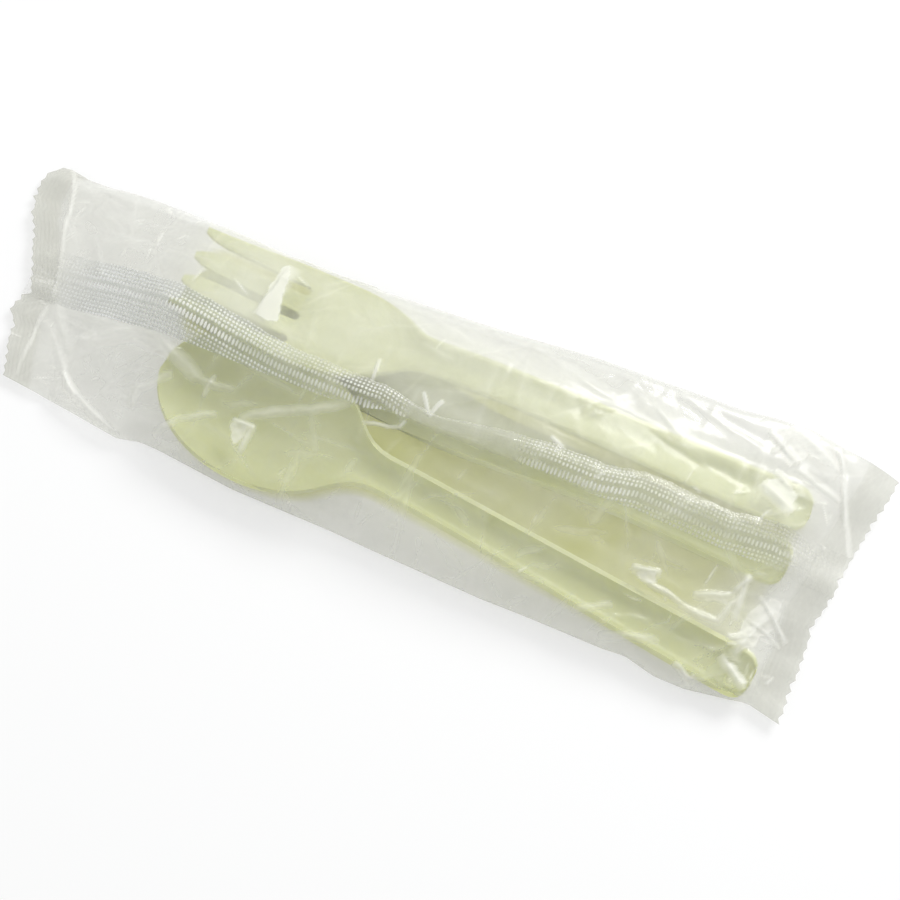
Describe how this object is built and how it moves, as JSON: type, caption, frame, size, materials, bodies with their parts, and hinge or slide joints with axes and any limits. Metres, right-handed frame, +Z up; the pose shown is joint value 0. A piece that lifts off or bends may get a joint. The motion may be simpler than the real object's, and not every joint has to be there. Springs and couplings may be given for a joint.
{
  "type": "cutlery kit",
  "caption": "Wrapped disposable cutlery kit: pale green fork, knife and spoon sealed side by side in a clear flow-wrap film pack with crimped ends and a fin seal.",
  "frame": {"origin": "middle of the pack's box, on the surface that the pack lies on", "axes": "+X along the pack from the utensils' heads to their handle ends, +Y across it towards the fork, +Z up, out of the side with the fin seal"},
  "size_m": [0.2316, 0.0706, 0.0169],
  "materials": {
    "clear_film": "clear glossy polypropylene film",
    "starch_plastic": "satin moulded plant-starch plastic, pale green"
  },
  "bodies": {
    "root": {"film_wrapper": "clear_film", "fork": "starch_plastic", "knife": "starch_plastic", "spoon": "starch_plastic"}
  },
  "joints": []
}
